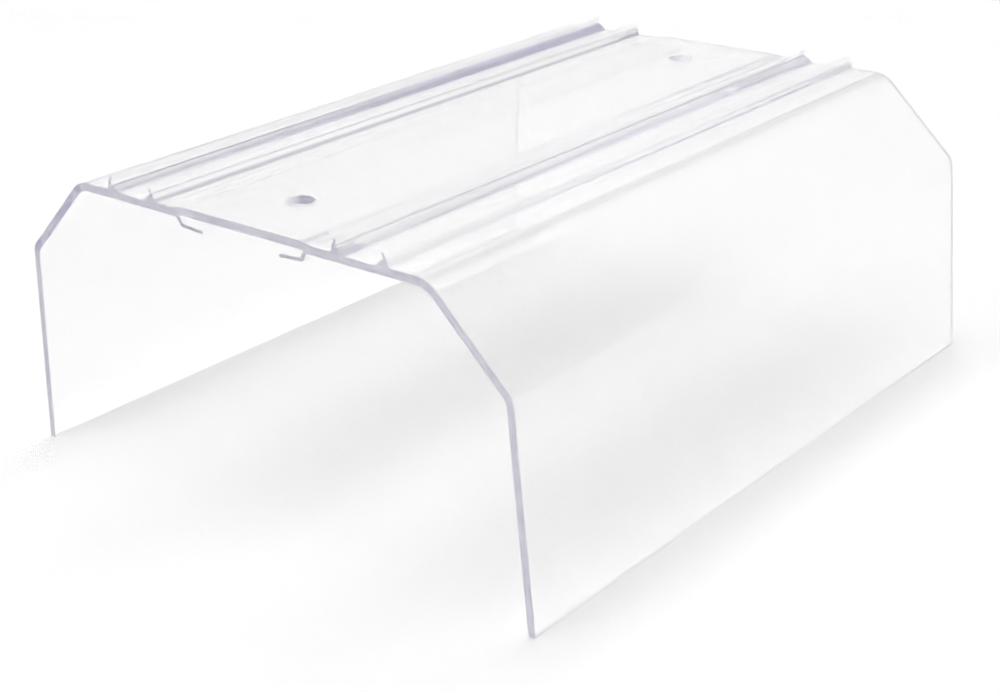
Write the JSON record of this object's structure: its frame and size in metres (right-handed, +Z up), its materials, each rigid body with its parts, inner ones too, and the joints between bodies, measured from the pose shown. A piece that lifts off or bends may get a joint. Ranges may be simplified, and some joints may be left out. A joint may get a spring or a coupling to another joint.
{
  "type": "polycarbonate cover profile",
  "caption": "Clear hood-shaped extruded cover profile with flared legs, ribbed channels along its flat web, strip hooks beneath the web and drilled fixing holes.",
  "frame": {"origin": "middle of the footprint, on the surface that the two feet stand on", "axes": "+X across the profile, +Y along the extrusion, +Z up from the feet to the web"},
  "size_m": [0.17, 0.2, 0.0816],
  "materials": {
    "clear_polycarbonate": "clear, glossy as extruded, with frosted saw-cut ends"
  },
  "bodies": {
    "root": {"cover_profile": "clear_polycarbonate"}
  },
  "joints": []
}
